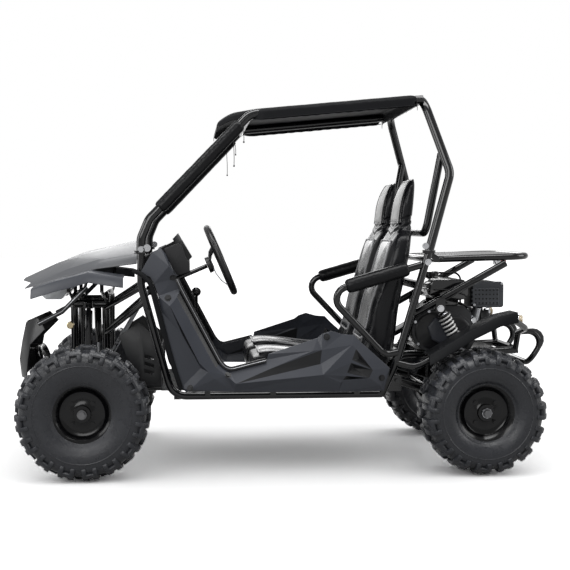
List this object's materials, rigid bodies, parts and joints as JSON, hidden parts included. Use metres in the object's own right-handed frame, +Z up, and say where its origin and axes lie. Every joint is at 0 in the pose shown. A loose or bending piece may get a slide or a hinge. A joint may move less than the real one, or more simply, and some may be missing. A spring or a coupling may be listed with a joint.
{
  "type": "off road go kart",
  "caption": "Two seat off road go kart with a tubular roll cage, roof canopy, faceted side panels, knobbly tyres, sprung suspension and a rear engine.",
  "frame": {"origin": "on the ground, at the middle of the footprint", "axes": "+X forward, +Y to the driver's left, +Z up"},
  "size_m": [2.028, 1.09, 1.3887],
  "materials": {
    "frame_paint": "gloss black powder coat",
    "body_plastic": "satin blue grey moulded plastic",
    "dark_plastic": "satin black moulded plastic",
    "seat_vinyl": "grained black vinyl with grey inserts",
    "pad_vinyl": "wrinkled black vinyl sleeve",
    "tyre_rubber": "matt black knobbly rubber",
    "rim_paint": "gloss black",
    "zinc_steel": "zinc plated",
    "spring_white": "gloss white",
    "engine_alloy": "cast alloy",
    "tank_paint": "gloss black",
    "muffler_paint": "matt heat resistant grey",
    "lamp_lens": "clear lens"
  },
  "bodies": {
    "frame": {"main_frame": "frame_paint", "cage_front": "frame_paint", "rear_hoop": "frame_paint", "side_bar_left": "frame_paint", "side_bar_right": "frame_paint", "side_bar_pad_left": "pad_vinyl", "side_bar_pad_right": "pad_vinyl", "pillar_pad_left": "pad_vinyl", "pillar_pad_right": "pad_vinyl", "roof_canopy": "body_plastic", "floor_pan": "dark_plastic", "body_side_left": "body_plastic", "body_side_right": "body_plastic", "dash_pod": "dark_plastic", "hood": "body_plastic", "front_fender_left": "body_plastic", "front_fender_right": "body_plastic", "headlight_left": "lamp_lens", "headlight_right": "lamp_lens", "front_fascia": "dark_plastic", "seat_left": "seat_vinyl", "seat_right": "seat_vinyl", "rear_rack": "frame_paint", "rear_fender_left": "body_plastic", "rear_fender_right": "body_plastic", "engine": "engine_alloy", "fuel_tank": "tank_paint", "muffler": "muffler_paint"},
    "steering": {"steering_wheel": "dark_plastic", "steering_shaft": "zinc_steel"},
    "lower_steering": {"lower_shaft": "zinc_steel"},
    "front_arm_left": {"front_arm_left": "frame_paint"},
    "knuckle_left": {"knuckle_left": "frame_paint"},
    "front_wheel_left": {"front_rim_left": "rim_paint", "front_tyre_left": "tyre_rubber"},
    "tie_rod_left": {"tie_rod_left": "zinc_steel"},
    "front_shock_body_left": {"front_shock_body_left": "frame_paint"},
    "front_shock_rod_left": {"front_shock_rod_left": "zinc_steel"},
    "rear_shock_body_left": {"rear_shock_body_left": "frame_paint", "rear_spring_left": "spring_white"},
    "rear_shock_rod_left": {"rear_shock_rod_left": "zinc_steel"},
    "front_arm_right": {"front_arm_right": "frame_paint"},
    "knuckle_right": {"knuckle_right": "frame_paint"},
    "front_wheel_right": {"front_rim_right": "rim_paint", "front_tyre_right": "tyre_rubber"},
    "tie_rod_right": {"tie_rod_right": "zinc_steel"},
    "front_shock_body_right": {"front_shock_body_right": "frame_paint"},
    "front_shock_rod_right": {"front_shock_rod_right": "zinc_steel"},
    "rear_shock_body_right": {"rear_shock_body_right": "frame_paint", "rear_spring_right": "spring_white"},
    "rear_shock_rod_right": {"rear_shock_rod_right": "zinc_steel"},
    "swing_arm": {"swing_arm": "frame_paint"},
    "rear_axle": {"rear_axle": "zinc_steel", "rear_rim_left": "rim_paint", "rear_rim_right": "rim_paint", "rear_tyre_left": "tyre_rubber", "rear_tyre_right": "tyre_rubber"},
    "brake_pedal": {"brake_pedal": "frame_paint"},
    "throttle_pedal": {"throttle_pedal": "frame_paint"},
    "shift_lever": {"shift_lever": "frame_paint"}
  },
  "joints": [
    {"name": "steer", "type": "hinge", "parent": "frame", "child": "steering", "pos_m": [0.247, 0.2, 0.777], "axis": [-0.9207, 0, 0.3903], "range_deg": [-40, 40]},
    {"name": "lower_steer", "type": "hinge", "parent": "frame", "child": "lower_steering", "pos_m": [0.714, 0, 0.33], "axis": [-0.4433, 0.4647, 0.7665], "range_deg": [-42, 42]},
    {"name": "front_suspension_left", "type": "hinge", "parent": "frame", "child": "front_arm_left", "pos_m": [0.741, 0.158, 0.284], "axis": [1, 0, 0], "range_deg": [-3, 4.5], "stiffness_Nm_per_rad": 8000, "springref_deg": -0.91},
    {"name": "kingpin_left", "type": "hinge", "parent": "front_arm_left", "child": "knuckle_left", "pos_m": [0.744, 0.33, 0.2413], "axis": [0, 0, 1], "range_deg": [-21, 21]},
    {"name": "front_wheel_spin_left", "type": "hinge", "parent": "knuckle_left", "child": "front_wheel_left", "pos_m": [0.744, 0.451, 0.2413], "axis": [0, 1, 0], "continuous": true},
    {"name": "tie_rod_slide_left", "type": "slide", "parent": "frame", "child": "tie_rod_left", "axis": [0, -1, 0], "range_m": [-0.04, 0.04]},
    {"name": "front_shock_pivot_left", "type": "hinge", "parent": "frame", "child": "front_shock_body_left", "pos_m": [0.742, 0.214, 0.608], "axis": [1, 0, 0], "range_deg": [-1, 1]},
    {"name": "front_shock_slide_left", "type": "slide", "parent": "front_shock_body_left", "child": "front_shock_rod_left", "axis": [0, -0.241, 0.9705], "range_m": [-0.012, 0.014]},
    {"name": "rear_shock_pivot_left", "type": "hinge", "parent": "frame", "child": "rear_shock_body_left", "pos_m": [-0.585, 0.262, 0.593], "axis": [0, 1, 0], "range_deg": [-2, 2]},
    {"name": "rear_shock_slide_left", "type": "slide", "parent": "rear_shock_body_left", "child": "rear_shock_rod_left", "axis": [0.4628, 0, 0.8865], "range_m": [-0.024, 0.018], "deforming": ["rear_spring_left"]},
    {"name": "front_suspension_right", "type": "hinge", "parent": "frame", "child": "front_arm_right", "pos_m": [0.741, -0.158, 0.284], "axis": [-1, 0, 0], "range_deg": [-3, 4.5], "stiffness_Nm_per_rad": 8000, "springref_deg": -0.91},
    {"name": "kingpin_right", "type": "hinge", "parent": "front_arm_right", "child": "knuckle_right", "pos_m": [0.744, -0.33, 0.2413], "axis": [0, 0, 1], "range_deg": [-21, 21]},
    {"name": "front_wheel_spin_right", "type": "hinge", "parent": "knuckle_right", "child": "front_wheel_right", "pos_m": [0.744, -0.451, 0.2413], "axis": [0, 1, 0], "continuous": true},
    {"name": "tie_rod_slide_right", "type": "slide", "parent": "frame", "child": "tie_rod_right", "axis": [0, -1, 0], "range_m": [-0.04, 0.04]},
    {"name": "front_shock_pivot_right", "type": "hinge", "parent": "frame", "child": "front_shock_body_right", "pos_m": [0.742, -0.214, 0.608], "axis": [-1, 0, 0], "range_deg": [-1, 1]},
    {"name": "front_shock_slide_right", "type": "slide", "parent": "front_shock_body_right", "child": "front_shock_rod_right", "axis": [0, 0.241, 0.9705], "range_m": [-0.012, 0.014]},
    {"name": "rear_shock_pivot_right", "type": "hinge", "parent": "frame", "child": "rear_shock_body_right", "pos_m": [-0.585, -0.262, 0.593], "axis": [0, 1, 0], "range_deg": [-2, 2]},
    {"name": "rear_shock_slide_right", "type": "slide", "parent": "rear_shock_body_right", "child": "rear_shock_rod_right", "axis": [0.4628, 0, 0.8865], "range_m": [-0.024, 0.018], "deforming": ["rear_spring_right"]},
    {"name": "rear_suspension", "type": "hinge", "parent": "frame", "child": "swing_arm", "pos_m": [-0.42, 0, 0.318], "axis": [0, 1, 0], "range_deg": [-4, 3], "stiffness_Nm_per_rad": 24000, "springref_deg": -1.35},
    {"name": "rear_axle_spin", "type": "hinge", "parent": "swing_arm", "child": "rear_axle", "pos_m": [-0.706, 0, 0.2286], "axis": [0, 1, 0], "continuous": true},
    {"name": "brake_pedal_pivot", "type": "hinge", "parent": "frame", "child": "brake_pedal", "pos_m": [0.396, 0.252, 0.322], "axis": [0, 1, 0], "range_deg": [0, 20], "stiffness_Nm_per_rad": 8, "springref_deg": -17.19},
    {"name": "throttle_pedal_pivot", "type": "hinge", "parent": "frame", "child": "throttle_pedal", "pos_m": [0.396, 0.152, 0.322], "axis": [0, 1, 0], "range_deg": [0, 20], "stiffness_Nm_per_rad": 5, "springref_deg": -17.19},
    {"name": "shift_lever_pivot", "type": "hinge", "parent": "frame", "child": "shift_lever", "pos_m": [0.338, 0.04, 0.322], "axis": [0, 1, 0], "range_deg": [-12, 12]}
  ],
  "couplings": [
    {"joint": "lower_steer", "follows": "steer", "ratio": 1},
    {"joint": "kingpin_left", "follows": "steer", "ratio": 0.5},
    {"joint": "tie_rod_slide_left", "follows": "steer", "m_per_rad": 0.0539},
    {"joint": "front_shock_pivot_left", "follows": "front_suspension_left", "ratio": 0.0072},
    {"joint": "front_shock_slide_left", "follows": "front_suspension_left", "m_per_rad": 0.1324},
    {"joint": "rear_shock_pivot_left", "follows": "rear_suspension", "ratio": 0.0665},
    {"joint": "rear_shock_slide_left", "follows": "rear_suspension", "m_per_rad": 0.2735},
    {"joint": "kingpin_right", "follows": "steer", "ratio": 0.5},
    {"joint": "tie_rod_slide_right", "follows": "steer", "m_per_rad": 0.0539},
    {"joint": "front_shock_pivot_right", "follows": "front_suspension_right", "ratio": 0.0072},
    {"joint": "front_shock_slide_right", "follows": "front_suspension_right", "m_per_rad": 0.1324},
    {"joint": "rear_shock_pivot_right", "follows": "rear_suspension", "ratio": 0.0665},
    {"joint": "rear_shock_slide_right", "follows": "rear_suspension", "m_per_rad": 0.2735}
  ]
}
